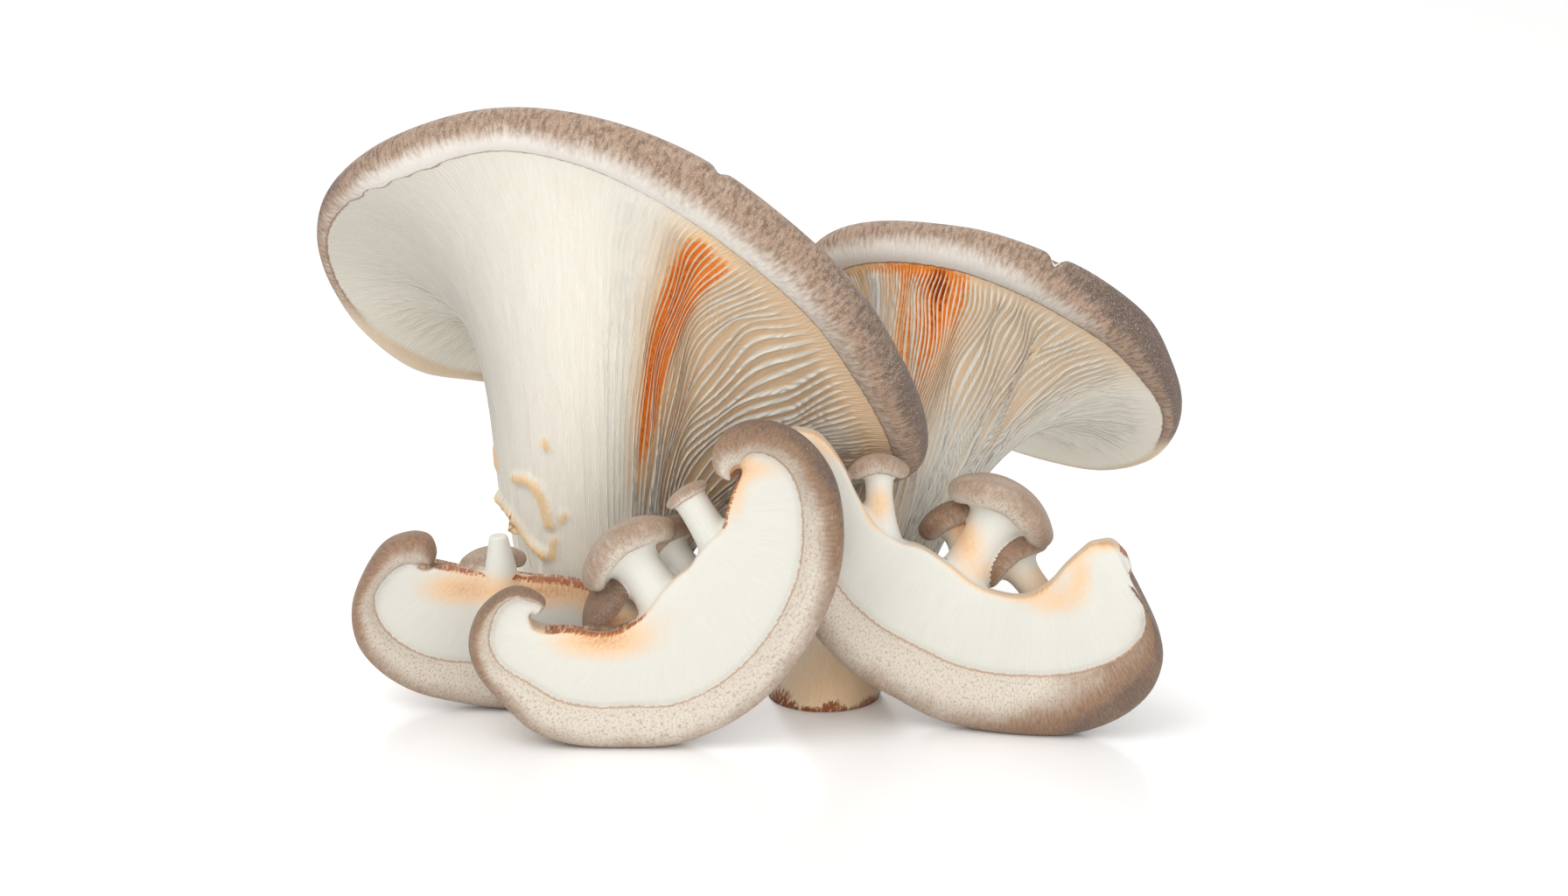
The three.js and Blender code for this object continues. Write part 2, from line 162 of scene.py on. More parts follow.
def through(rows, t, closed):
    """A smooth curve through rows of numbers, at t from 0 to 1, one result for each t."""
    rows = np.asarray(rows, float)
    count = len(rows)
    place = (np.mod(t, 1) if closed else np.clip(t, 0, 1)) * (count if closed else count - 1)
    start = np.floor(place).astype(int)
    start = start % count if closed else np.minimum(start, count - 2)
    f = (place - np.floor(place) if closed else place - start)[..., None]

    def pick(k):
        return rows[k % count if closed else np.clip(k, 0, count - 1)]

    a, b, c, d = pick(start - 1), pick(start), pick(start + 1), pick(start + 2)
    bend = 2 * a - 5 * b + 4 * c - d
    twist = 3 * b - a - 3 * c + d
    return b + 0.5 * f * (c - a) + 0.5 * f * f * bend + 0.5 * f * f * f * twist


def unit(vectors):
    """The vectors' directions."""
    return vectors / np.maximum(np.linalg.norm(vectors, axis=-1, keepdims=True), 1e-9)


def guides(shape, u):
    """The roll's radius, and the foot, waist, throat and rim points, at u round the mushroom."""
    x, y, z, roll, waist, throat, height, turn = np.moveaxis(through(shape["rim"], u, True), -1, 0)
    angle = np.arctan2(y - shape["throat"][1], x - shape["throat"][0]) + np.radians(turn)

    def ring(part, radius, level):
        across = shape[part][0] + radius * np.cos(angle)
        deep = shape[part][1] + radius * np.sin(angle)
        return np.stack([across, deep, level + 0 * z], -1)

    foot = ring("foot", shape["foot"][2], 0)
    points = foot, ring("waist", waist, height / 2), ring("throat", throat, height)
    return roll, (*points, np.stack([x, y, z], -1))


def underside(shape, u, t):
    """The stem and the gills' ground, from the foot at t = 0 to the rim's line at t = 1."""
    a, b, c, d = guides(shape, u)[1]
    t = np.asarray(t, float)[..., None]
    s = 1 - t
    return s * s * s * a + 3 * s * s * t * b + 3 * s * t * t * c + t * t * t * d


def rolled(shape, u, t):
    """The rim, from the gills' edge at t = 0, out and over to the top at t = 1."""
    roll, points = guides(shape, u)
    out = unit(points[3] - points[2])
    step = 1e-3
    along = unit(guides(shape, u + step)[1][3] - guides(shape, u - step)[1][3])
    up = unit(np.cross(out, along))
    thick = np.clip((roll - THIN_ROLL) / (THICK_ROLL - THIN_ROLL), 0, 1)
    tuck = np.radians(TUCK - TUCK_LOST * thick)
    angle = math.pi + tuck + t * (ROLL_END - tuck)
    sideways = (roll * (np.cos(tuck) + np.cos(angle)))[..., None]
    upward = (roll * (np.sin(tuck) + np.sin(angle)))[..., None]
    return points[3] + sideways * out + upward * up


def dome(shape, u, t):
    """The cap's top, from the roll's end at t = 0 to the crown at t = 1."""
    edge = rolled(shape, u, np.ones_like(u))
    crown, axis = np.array(shape["crown"], float), unit(np.array(shape["axis"], float))
    reach = edge - crown
    reach = reach - (reach @ axis)[..., None] * axis
    t = np.asarray(t, float)[..., None]
    return edge * (1 - t) ** 2 + 2 * t * (1 - t) * (crown + DOME_REACH * reach) + crown * t * t


def ball(name, columns, rings):
    """A sphere to shape, with the column and the ring of each of its vertices. Both counts are
    multiples of three, because each face of a coarser sphere is cut in three each way."""
    bpy.ops.object.select_all(action="DESELECT")
    bpy.ops.mesh.primitive_uv_sphere_add(segments=columns // 3, ring_count=rings // 3, radius=1)
    piece = bpy.context.object
    piece.name = name
    piece.data.name = name
    bpy.ops.object.mode_set(mode="EDIT")
    bpy.ops.mesh.select_all(action="SELECT")
    bpy.ops.mesh.subdivide(number_cuts=2)
    bpy.ops.object.mode_set(mode="OBJECT")
    place = np.empty(len(piece.data.vertices) * 3)
    piece.data.vertices.foreach_get("co", place)
    x, y, z = place.reshape(-1, 3).T
    column = np.rint(-np.arctan2(x, y) / (2 * math.pi) * columns).astype(int) % columns
    ring = np.rint(np.arctan2(np.hypot(x, y), z) / math.pi * rings).astype(int)
    return piece, column, rings - ring


def lay_on(piece, column, ring, places, notes):
    """Moves the sphere's vertices to a grid of places, and keeps the notes that the finish reads.
    The first and last rings of the grid are each one point, the sphere's poles."""
    mesh = piece.data
    mesh.vertices.foreach_set("co", metres(places[ring, column]).astype(np.float32).ravel())
    for name, values in notes.items():
        values = values[ring, column]
        kind = "FLOAT" if values.ndim == 1 else "FLOAT_VECTOR"
        field = "value" if values.ndim == 1 else "vector"
        note = mesh.attributes.new(name, kind, "POINT")
        note.data.foreach_set(field, values.astype(np.float32).ravel())
    mesh.update()
    bpy.ops.object.shade_smooth()


def outward(grid):
    """The outward normals of a grid whose columns run round it."""
    round_it = np.roll(grid, -1, axis=1) - np.roll(grid, 1, axis=1)
    along = np.gradient(grid, axis=0)
    return unit(np.cross(round_it, along))


def gilled(shape, ridges, crowd, tall, wavy, steps, seed):
    """The grid of a gilled mushroom, and where each of its points lies: its share of the way
    round, its part, its distance from the rim's line, and how deep it lies between the gills.
    crowd, tall and wavy say how close, how high and how wavy the gills are round it."""
    draw = np.random.default_rng(seed)
    fine = np.linspace(0, 1, 2001)
    weight = crowd(fine)
    share = np.concatenate([[0], np.cumsum(0.5 * (weight[1:] + weight[:-1]))])
    crest = np.interp(np.arange(ridges) / ridges, share / share[-1], fine)
    gap = np.diff(np.append(crest, 1.0))
    short = (np.arange(ridges) % 2 == 1) & (draw.random(ridges) < 0.85)
    start = np.where(short, draw.uniform(0.3, 0.68, ridges), draw.uniform(0.12, 0.26, ridges))
    side = np.where(draw.random(ridges) < 0.5, -1, 1) * short
    own = draw.normal(0, 1, (3, ridges))
    own = (own + np.roll(own, 1, 1) + np.roll(own, -1, 1)) / 3
    t = np.linspace(0, 1, steps["under"]) ** 0.92
    tt = t[:, None]
    wave = sum(
        size * np.sin(2 * math.pi * (turns * tt + turns_round * crest) + begin)
        for size, turns, turns_round, begin in GILL_WAVES
    )
    wave = wave + OWN_WAVE * own[0] * np.sin(2 * math.pi * (OWN_TURNS * tt + own[1]))
    wave = wavy(crest) * wave * ease(0.2, 0.45, tt) * (1 - 0.8 * ease(0.85, 1, tt))
    fork = 0.6 * side * (1 - ease(start, start + 0.22, tt))
    line = crest + gap * (wave + fork)
    after = np.concatenate([line[:, 1:], line[:, :1] + 1], axis=1)
    there = ease(start, start + 0.12, tt) * (1 - 0.9 * ease(0.93, 1, tt)) * (1 + 0.35 * own[2])
    u = np.stack([line, line + 0.27 * (after - line), line + 0.73 * (after - line)], -1)
    u = u.reshape(len(t), -1)
    height = np.stack([there, 0 * there, 0 * there], -1).reshape(len(t), -1)
    below = underside(shape, u, np.broadcast_to(tt, u.shape))
    lift = tall(u) * (height - 0.4 * ease(0.15, 0.4, tt)) * (1 - ease(0.93, 1, tt))
    below = below + outward(below) * lift[..., None]
    flat = u[-1]
    roll_t = np.linspace(0, 1, steps["roll"] + 1)[1:, None]
    rim = rolled(shape, flat + 0 * roll_t, roll_t + 0 * flat)
    dome_t = np.linspace(0, 1, steps["dome"] + 1)[1:, None]
    cap = dome(shape, flat + 0 * dome_t, dome_t + 0 * flat)
    shares = np.array([0.0, 0.35, 0.7, 0.92])[:, None, None]
    heart = np.array([*shape["foot"][:2], 0.0])
    sole = heart + shares * (below[0] - heart)
    grid = np.concatenate([sole, below, rim, cap])
    across = np.broadcast_to(flat, (len(grid), len(flat))).copy()
    across[len(sole) : len(sole) + len(below)] = u
    step = np.linalg.norm(np.diff(grid, axis=0), axis=-1)
    run = np.concatenate([np.zeros((1, len(flat))), np.cumsum(step, axis=0)])
    edge = len(sole) + len(below) - 1
    from_rim = run - run[edge]
    deep = np.ones_like(across)
    deep[len(sole) : edge + 1] = 1 - height
    part = np.zeros(len(grid))
    part[edge + 1 :] = np.concatenate([roll_t[:, 0], 1 + dome_t[:, 0]])
    part[: edge + 1] = -1 + np.concatenate([0 * shares[:, 0, 0], t])
    return grid, across, np.broadcast_to(part[:, None], across.shape), from_rim, deep


def spun(across, part, from_rim, radius):
    """Places for a pattern that runs out from the middle with no seam."""
    shrink = np.clip(2 - part, 0, 1)
    turn = 2 * math.pi * across
    return np.stack([radius * shrink * np.cos(turn), radius * shrink * np.sin(turn), from_rim], -1)


def bump(across, low, high, soft):
    """1 from low to high round the mushroom, with soft ends."""
    across = np.mod(across, 1)
    return ease(low - soft, low + soft, across) * (1 - ease(high - soft, high + soft, across))


grid, across, part, from_rim, deep = gilled(
    LEFT_MUSHROOM,
    ridges=132,
    crowd=lambda u: 0.4 + 0.7 * bump(u, 0.22, 0.33, 0.02) + 0.36 * bump(u, 0.33, 0.58, 0.02),
    tall=lambda u: 0.14 + 1.1 * bump(u, 0.25, 0.6, 0.04) + 0.35 * bump(u, 0.84, 0.97, 0.04),
    wavy=lambda u: 0.15 + 0.75 * bump(u, 0.26, 0.6, 0.04) + 0.5 * bump(u, 0.86, 0.96, 0.04),
    steps={"under": 189, "roll": 22, "dome": 23},
    seed=11,
)
left, column, ring = ball("large_mushroom_left_grown", grid.shape[1], len(grid) - 1)
under = part <= 0
on_roll = np.clip(part, 0, 1)
round_it = np.mod(across, 1)

# The skin is pale along the roll's front and dark over its top and at both sides. The palest
# stretch, at the upper front, is partly a painted highlight, and the dark low at the right is
# partly painted shade, where the roll faces away from the main lamp. Low at the left it has worn
# to tan.
sides = 0.75 * ease(0.26, 0.42, round_it) + 0.8 * (1 - ease(0.0, 0.12, round_it))
pale = 0.02 + sides + 0.05 * ease(0.9, 1.0, round_it)
tan = bump(round_it, 0.79, 0.925, 0.03) * (1 - ease(0.3, 0.8, part))
tone = pale + (1 - pale + 0.6 * sides) * ease(0.12, 0.55, on_roll)
tone = tone + (1.05 - tone) * ease(0.7, 1.4, part)


def streak(across, middle, width):
    """1 in the middle of a soft streak, which fades over its width."""
    return np.exp(-(((across - middle) / width) ** 2))


def near_line(grid, line, reach):
    """How near the stem's front comes to a line of x and z places: 1 on it, 0 at its reach."""
    spot = grid[..., [0, 2]]
    away = np.full(grid.shape[:2], 99.0)
    for a, b in zip(np.array(line[:-1], float), np.array(line[1:], float)):
        along = np.clip((spot - a) @ (b - a) / ((b - a) @ (b - a)), 0, 1)
        away = np.minimum(away, np.linalg.norm(spot - a - along[..., None] * (b - a), axis=-1))
    return np.clip(1 - away / reach, 0, 1) * (grid[..., 1] < STEM_FRONT)


def notch(on_roll, part, round_it, place, width, full):
    """How deep a notch in the rim is: a wedge that widens up the roll and ends on its top."""
    wedge = np.maximum(ease(0.4, full, on_roll), 0.05) * (part < 1.05)
    return np.where(wedge > 0.06, streak(round_it, place, width * wedge + 1e-6) * wedge, 0)


# The stem was torn as it was picked: a lip and a ragged shelf stand off it, with smaller chips,
# and below the shelf a layer is gone. Lines are x and z places on the stem's front.
STEM_FRONT = 60
TORN_LIP = [(-49.4, 44.6), (-47.4, 45), (-45.4, 43.9), (-43.9, 41.4), (-43, 38.5), (-42.5, 35.7)]
TORN_SHELF = [
    (-53.8, 37.5), (-52, 35.6), (-49.9, 33.3), (-48.3, 30.8), (-46.3, 29.2), (-44.1, 28.4),
]
CHIPS = [
    [(-43.1, 54.9), (-42.8, 53)],
    [(-54.4, 48.7), (-54.1, 45.2)],
    [(-41.4, 32.2), (-42, 28.3)],
    [(-38.9, 38.4), (-39.9, 36.8)],
]
LIP_WIDTH, SHELF_WIDTH, CHIP_WIDTH = 1.9, 2.2, 1.2
LIP_RISE, SHELF_RISE, CHIP_RISE = 0.9, 1.3, 0.5
LOST_DEPTH, LOST_BACK = 2.6, 62
lip = near_line(grid, TORN_LIP, LIP_WIDTH)
shelf = near_line(grid, TORN_SHELF, SHELF_WIDTH)
chips = np.max([near_line(grid, chip, CHIP_WIDTH) for chip in CHIPS], axis=0)
rise = LIP_RISE * ease(0, 0.7, lip) + SHELF_RISE * ease(0, 0.8, shelf) + CHIP_RISE * chips
grid = grid + outward(grid) * rise[..., None]
scar = np.maximum.reduce([0.9 * lip, shelf, 0.9 * chips])
shelf_x, shelf_z = np.array(TORN_SHELF, float).T
lost = ease(0, 2.5, np.interp(grid[..., 0], shelf_x, shelf_z) - grid[..., 2])
lost = lost * ease(-44, -47.5, grid[..., 0])
grid = grid - outward(grid) * (LOST_DEPTH * lost * (grid[..., 1] < LOST_BACK) * under)[..., None]

# Deep between the gills the flesh glows orange in a few streaks: each is its place round the
# mushroom, its width and its strength. The gaps are tan and the cup at the left lies in shade.
LEFT_GLOW = ((0.281, 0.009, 1.0), (0.297, 0.007, 0.7))
reach = ease(-0.72, -0.5, part) * (1 - ease(-0.1, 0.02, part))
deepest = sum(strength * streak(round_it, middle, width) for middle, width, strength in LEFT_GLOW)
warm = reach * (0.9 * deep**2 + 0.05) * (1.1 * deepest + 0.3 * streak(round_it, 0.31, 0.03))
warm = np.minimum(warm, 0.92) + ease(-0.9, -0.6, part) * 0.2 * streak(round_it, 0.262, 0.024)
valley = (0.15 + 0.85 * deep) * ease(-0.85, -0.6, part)
valley = valley * (0.1 + 0.9 * bump(round_it, 0.27, 0.6, 0.05))
cup = 0.5 * ease(0.74, 0.84, round_it) + 0.5 * ease(0.9, 1, round_it)
cup = cup + (1 - ease(0.04, 0.2, round_it))
dim = cup * ease(-0.8, -0.45, part)

# At the upper left the gills' edge is scalloped, and the rim is notched near its middle.
LEFT_NOTCH, LEFT_NOTCH_WIDTH, LEFT_NOTCH_DEPTH = 0.264, 0.003, 0.9
scallop = 0.5 * np.sin(2 * math.pi * 53 * across) + 0.35 * np.sin(2 * math.pi * 37 * across + 1)
from_rim = from_rim + scallop * bump(round_it, 0.045, 0.125, 0.012)
dent = notch(on_roll, part, round_it, LEFT_NOTCH, LEFT_NOTCH_WIDTH, 0.85)
grid = grid - outward(grid) * (LEFT_NOTCH_DEPTH * dent)[..., None]
lay_on(
    left,
    column,
    ring,
    grid,
    {
        "from_rim": from_rim,
        "tone": tone,
        "warm": warm,
        "valley": np.where(under, valley, 0),
        "dim": np.where(under, dim, 0),
        "crust": 0.0 * tone,
        "scar": scar,
        "tan": tan,
        "lay": spun(across, part, from_rim, 52),
    },
)


def colour(red, green, blue):
    """A colour named by its 0 to 255 screen values, as the shader's linear ones."""
    channels = [value / 255 for value in (red, green, blue)]
    return *(c / 12.92 if c <= 0.04045 else ((c + 0.055) / 1.055) ** 2.4 for c in channels), 1.0


class Finish:
    """A material under construction, with short words for the nodes that it is made of."""

    def __init__(self, name):
        self.material = bpy.data.materials.new(name)
        self.material.use_nodes = True
        self.tree = self.material.node_tree
        self.shader = self.tree.nodes["Principled BSDF"]

    def node(self, kind, inputs=(), **settings):
        made = self.tree.nodes.new(kind)
        for key, value in settings.items():
            setattr(made, key, value)
        for key, value in dict(inputs).items():
            if isinstance(value, bpy.types.NodeSocket):
                self.tree.links.new(value, made.inputs[key])
            else:
                made.inputs[key].default_value = value
        return made

    def note(self, name, output="Fac"):
        return self.node("ShaderNodeAttribute", attribute_name=name).outputs[output]

    def sum(self, operation, first, second):
        inputs = {0: first, 1: second}
        return self.node("ShaderNodeMath", inputs, operation=operation).outputs[0]

    def steps(self, value, low, high):
        inputs = {"Value": value, "From Min": low, "From Max": high}
        return self.node("ShaderNodeMapRange", inputs, interpolation_type="SMOOTHSTEP").outputs[0]

    def noise(self, place, stretch, scale, detail):
        turned = self.node("ShaderNodeMapping", {"Vector": place, "Scale": stretch}).outputs[0]
        inputs = {"Vector": turned, "Scale": scale, "Detail": detail}
        return self.node("ShaderNodeTexNoise", inputs).outputs["Fac"]

    def mix(self, share, first, second):
        made = self.node("ShaderNodeMix", data_type="RGBA")
        for index, value in ((0, share), (6, first), (7, second)):
            if isinstance(value, bpy.types.NodeSocket):
                self.tree.links.new(value, made.inputs[index])
            else:
                made.inputs[index].default_value = value
        return made.outputs[2]


# Colours that every mushroom has, as 0 to 255 screen values.
# The darkest skin is the caps' own dark brown and also the painted shade at the big mushrooms' sides
# and the cut pieces' right ends.
DARKEST_SKIN_AND_SHADE = (96, 80, 71)
DARK_HAIR = (104, 80, 63)
PALE_FELT = (236, 228, 218)
PIT_BROWN = (150, 124, 103)
WORN_TAN, WORN_PALE = (196, 172, 142), (226, 210, 188)
SHADED_FLESH = (170, 165, 154)
BETWEEN_GILLS = (216, 182, 142)
DEEPEST_GLOW = (150, 74, 42)
SCAR_PALE, SCAR_BROWN = (234, 202, 158), (204, 142, 82)
CRUST_BROWN = (154, 90, 54)


def mushroom_finish(name, pits, lines, hairy, silver, brown, pale, glow, edge_line):
    """Velvety skin, cut flesh and gills in one finish, told apart by the notes on the mesh.
    pits is how strongly the pale skin is marked with small dark pits, and lines is how many
    fine lines run from the stem to the rim. hairy is how strongly the skin's fibres show, silver
    and brown are its two colours, pale is the flesh's two colours, glow its two warm colours and
    edge_line the colour of the fine line where the skin ends."""
    f = Finish(name)
    lay = f.note("lay", "Vector")
    tone = f.note("tone")
    tan = f.note("tan")
    felt = f.noise(lay, (1.0, 1.0, 0.7), 4.5, 2.0)
    hairs = f.noise(lay, (1.0, 1.0, 0.3), 1.7, 4.0)
    cloud = f.noise(lay, (1.0, 1.0, 1.0), 0.12, 2.0)
    ragged = f.noise(lay, (1.0, 1.0, 1.0), 0.9, 3.0)
    shade = f.sum("ADD", tone, f.sum("MULTIPLY", f.sum("SUBTRACT", cloud, 0.5), 0.5))
    shade = f.sum("ADD", shade, f.sum("MULTIPLY", f.sum("SUBTRACT", hairs, 0.5), 0.8 * hairy))
    shade = f.sum("ADD", shade, f.sum("MULTIPLY", f.sum("SUBTRACT", felt, 0.5), 0.25))
    skin = f.mix(f.steps(shade, 0.05, 1.0), colour(*silver), colour(*brown))
    # Past full brown the skin turns darker still: the caps' own dark brown, and painted shade where the
    # tone is pushed that far.
    skin = f.mix(f.steps(shade, 0.95, 1.5), skin, colour(*DARKEST_SKIN_AND_SHADE))
    dark = f.sum("MULTIPLY", f.steps(hairs, 0.42, 0.66), f.steps(tone, 0.45, 1.0))
    skin = f.mix(f.sum("MULTIPLY", dark, 0.6 * hairy), skin, colour(*DARK_HAIR))
    tips = f.sum("MULTIPLY", f.steps(felt, 0.5, 0.68), 0.25 * hairy)
    skin = f.mix(tips, skin, colour(*PALE_FELT))
    dash = f.noise(lay, (1.0, 1.0, 0.55), 2.6, 1.0)
    on_pale = f.sum("SUBTRACT", 1.0, f.steps(tone, 0.6, 1.1))
    dash = f.sum("MULTIPLY", f.steps(dash, 0.5, 0.66), on_pale)
    skin = f.mix(f.sum("MULTIPLY", dash, pits), skin, colour(*PIT_BROWN))
    skin = f.mix(tan, skin, f.mix(felt, colour(*WORN_TAN), colour(*WORN_PALE)))
    fibre = f.noise(lay, (1.0, 1.0, 0.08), 1.6, 4.0)
    flesh = f.mix(fibre, colour(*pale[0]), colour(*pale[1]))
    flesh = f.mix(f.sum("MULTIPLY", f.note("dim"), 0.6), flesh, colour(*SHADED_FLESH))
    valley = f.sum("MULTIPLY", f.steps(f.note("valley"), 0.2, 0.9), 0.85)
    flesh = f.mix(valley, flesh, colour(*BETWEEN_GILLS))
    warm = f.sum("MULTIPLY", f.note("warm"), f.sum("ADD", 0.5, ragged))
    flesh = f.mix(f.steps(warm, 0.06, 0.5), flesh, colour(*glow[0]))
    flesh = f.mix(f.steps(warm, 0.4, 0.85), flesh, colour(*glow[1]))
    flesh = f.mix(f.steps(warm, 0.95, 1.4), flesh, colour(*DEEPEST_GLOW))
    scar = f.sum("ADD", f.note("scar"), f.sum("MULTIPLY", f.sum("SUBTRACT", ragged, 0.5), 0.9))
    flesh = f.mix(f.steps(scar, 0.1, 0.7), flesh, colour(*SCAR_PALE))
    flesh = f.mix(f.steps(scar, 0.8, 1.15), flesh, colour(*SCAR_BROWN))
    wander = f.sum("MULTIPLY", f.sum("SUBTRACT", ragged, 0.5), 0.8)
    not_worn = f.sum("SUBTRACT", 1.0, f.sum("MULTIPLY", tan, 0.85))
    edge = f.sum("MULTIPLY", f.sum("ADD", f.note("from_rim"), wander), not_worn)
    on_skin = f.steps(edge, -0.12, 0.12)
    body = f.mix(on_skin, flesh, skin)
    near = f.sum("SUBTRACT", 1.0, f.steps(f.sum("ABSOLUTE", edge, 0.0), 0.05, 0.4))
    near = f.sum("MULTIPLY", near, f.sum("SUBTRACT", 0.7, f.sum("MULTIPLY", tan, 0.7)))
    body = f.mix(near, body, colour(*edge_line))
    broken = f.sum("SUBTRACT", f.sum("MULTIPLY", ragged, 3.2), 0.6)
    crust = f.sum("MULTIPLY", f.note("crust"), broken)
    body = f.mix(f.steps(crust, 0.3, 0.9), body, colour(*CRUST_BROWN))
    f.tree.links.new(body, f.shader.inputs["Base Color"])
    rise = f.sum("MULTIPLY", f.sum("ADD", felt, hairs), f.sum("MULTIPLY", on_skin, 0.00016))
    rise = f.sum("ADD", rise, f.sum("MULTIPLY", fibre, 0.00008))
    if lines:
        place = f.node("ShaderNodeSeparateXYZ", {0: lay}).outputs
        turn = f.sum("ARCTAN2", place[1], place[0])
        turn = f.sum("ADD", turn, f.sum("MULTIPLY", cloud, 0.06))
        stripe = f.sum("SINE", f.sum("MULTIPLY", turn, float(lines)), 0.0)
        depth = f.sum("SUBTRACT", 0.00006, f.sum("MULTIPLY", on_skin, 0.00006))
        rise = f.sum("ADD", rise, f.sum("MULTIPLY", stripe, depth))
    inputs = {"Height": rise, "Strength": 0.7, "Distance": 1.0}
    f.tree.links.new(f.node("ShaderNodeBump", inputs).outputs[0], f.shader.inputs["Normal"])
    f.shader.inputs["Roughness"].default_value = 0.62
    f.shader.inputs["Specular IOR Level"].default_value = 0.3
    f.shader.inputs["Sheen Weight"].default_value = 0.08
    f.shader.inputs["Subsurface Weight"].default_value = 0.12
    f.shader.inputs["Subsurface Radius"].default_value = (1.0, 0.8, 0.6)
    f.shader.inputs["Subsurface Scale"].default_value = 0.003
    return f.material


gilled_finish = mushroom_finish(
    "gilled_mushroom",
    pits=0.0,
    lines=420,
    hairy=1.0,
    silver=(226, 221, 213),
    brown=(162, 135, 113),
    pale=((228, 222, 208), (242, 238, 227)),
    glow=((242, 204, 156), (240, 138, 48)),
    edge_line=(132, 98, 72),
)
left.data.materials.append(gilled_finish)
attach(left, "root")
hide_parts("large_mushroom_left")

# The large mushroom at the right is like it, on a stem that slants back from a brown, crusty
# butt under the cluster's middle.
RIGHT_RIM = [
    [16.5, 74, 81.5, 4.5, 10.5, 11, 72, 0],
    [22, 66, 87, 4.6, 11, 12, 74, 0],
    [32, 60, 89.3, 4.8, 11.5, 13, 74, 0],
    [44, 55, 88.6, 5, 12, 14, 73, 0],
    [55, 52, 85.3, 5.2, 12, 14, 71, 0],
    [65, 50, 80.6, 5.6, 12, 14, 67, 0],
    [76, 50, 73.4, 5.2, 12, 14, 62, 0],
    [83.2, 53, 65.3, 4.1, 11.5, 13, 60, 0],
    [88, 58, 57, 3, 11, 12, 60, 5],
    [88, 64.5, 48.8, 2.4, 11, 12, 62, 14],
    [84, 71, 42.4, 2, 11.5, 13, 64, 28],
    [75.5, 80.5, 37.9, 2, 11.5, 13, 62, 30],
    [64.5, 88, 37.8, 2.2, 11, 12, 57, 20],
    [51.5, 94.5, 40.2, 3, 9.5, 9, 50, 6],
    [38, 99, 43.5, 3.6, 9, 8, 47, 0],
    [25.5, 99, 49.5, 4, 9, 8, 52, 0],
    [16.5, 94, 60, 4.2, 9.5, 9, 60, 0],
    [14, 85, 72.5, 4.4, 10, 10, 68, 0],
]
RIGHT_MUSHROOM = {
    "foot": (15.8, 38.5, 11.8),
    "waist": (30, 62),
    "throat": (42, 72),
    "rim": RIGHT_RIM,
    "crown": (51, 82, 77),
    "axis": (0.21, 0.72, 0.66),
}
grid, across, part, from_rim, deep = gilled(
    RIGHT_MUSHROOM,
    ridges=144,
    crowd=lambda u: (
        1
        + 0.5 * bump(u, 0.03, 0.19, 0.02)
        - 0.3 * bump(u, 0.2, 0.36, 0.03)
        - 0.6 * bump(u, 0.62, 0.95, 0.02)
    ),
    tall=lambda u: 0.2 + 1.0 * bump(u, 0.02, 0.36, 0.05),
    wavy=lambda u: 0.2 + 0.8 * bump(u, 0.12, 0.36, 0.05),
    steps={"under": 133, "roll": 21, "dome": 23},
    seed=5,
)
right, column, ring = ball("large_mushroom_right_grown", grid.shape[1], len(grid) - 1)
under = part <= 0
on_roll = np.clip(part, 0, 1)
round_it = np.mod(across, 1)
# Its skin is pale along the roll's front and darker at its right end and behind. The dark at the right
# end is partly painted shade, where the roll faces away from the main lamp.
sides = 1.2 * ease(0.18, 0.4, round_it) * (1 - ease(0.8, 0.98, round_it))
pale = 0.06 + 0.6 * sides
tan = bump(round_it, 0.505, 0.72, 0.02) * (1 - ease(0.3, 0.8, part))
tone = pale + 0.2 * sides + (1 - pale + 0.6 * sides) * ease(0.12, 0.55, on_roll)
tone = tone + (1.05 - tone) * ease(0.7, 1.4, part)

# Its gills glow orange just below the rim, and its stem is tan down to the butt's dark crust.
# A patch of crust is its place in x, its width and its height.
RIGHT_GLOW = ((0.15, 0.011, 0.8), (0.173, 0.008, 0.4))
BUTT_CRUST = ((7, 3, 3.4), (17.5, 2.5, 2.8), (12, 14, 0.8), (25.5, 2.5, 2.2))
BUTT_TAN, TAN_FROM, TAN_TO = 0.22, 4, 24
reach = ease(-0.5, -0.05, part) * (1 - ease(-0.03, 0.02, part))
deepest = sum(strength * streak(round_it, middle, width) for middle, width, strength in RIGHT_GLOW)
glowing = ease(-0.5, -0.05, part) * deepest + 0.35 * streak(round_it, 0.13, 0.05)
warm = reach * deep**2 * glowing
side = 0.45 * bump(round_it, 0.0, 0.16, 0.04) * ease(-0.9, -0.2, part)
warm = warm + deep * under * (side + 0.16 * bump(round_it, 0.1, 0.35, 0.05))
valley = (0.1 + 0.9 * deep) * ease(-0.7, -0.3, part)
valley = valley * (0.1 + 0.6 * bump(round_it, 0.05, 0.4, 0.05))
warm = warm + BUTT_TAN * (1 - ease(TAN_FROM, TAN_TO, grid[..., 2])) * under
crust = np.zeros_like(across)
for middle, wide, high in BUTT_CRUST:
    crust = crust + np.exp(-(((grid[..., 0] - middle) / wide) ** 2) - (grid[..., 2] / high) ** 2)
crust = np.where(under, np.clip(crust, 0, 1), 0)

# The notch in its rim is deep enough to show pale flesh.
RIGHT_NOTCH, RIGHT_NOTCH_WIDTH, RIGHT_NOTCH_DEPTH = 0.244, 0.006, 1.8
dent = notch(on_roll, part, round_it, RIGHT_NOTCH, RIGHT_NOTCH_WIDTH, 0.8)
grid = grid - outward(grid) * (RIGHT_NOTCH_DEPTH * dent)[..., None]
from_rim = np.where(dent > 0.4, -1, from_rim)
lay_on(
    right,
    column,
    ring,
    grid,
    {
        "from_rim": from_rim,
        "tone": tone,
        "warm": warm,
        "valley": np.where(under, valley, 0),
        "dim": 0.0 * tone,
        "crust": crust,
        "scar": 0.4 * dent,
        "tan": tan,
        "lay": spun(across, part, from_rim, 38),
    },
)
right.data.materials.append(gilled_finish)
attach(right, "root")
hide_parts("large_mushroom_right")

# The piece in front is half a mushroom whose rim had rolled in. The cut shows pale flesh inside a
# band of velvety skin, and small mushrooms grow from its inner edge.

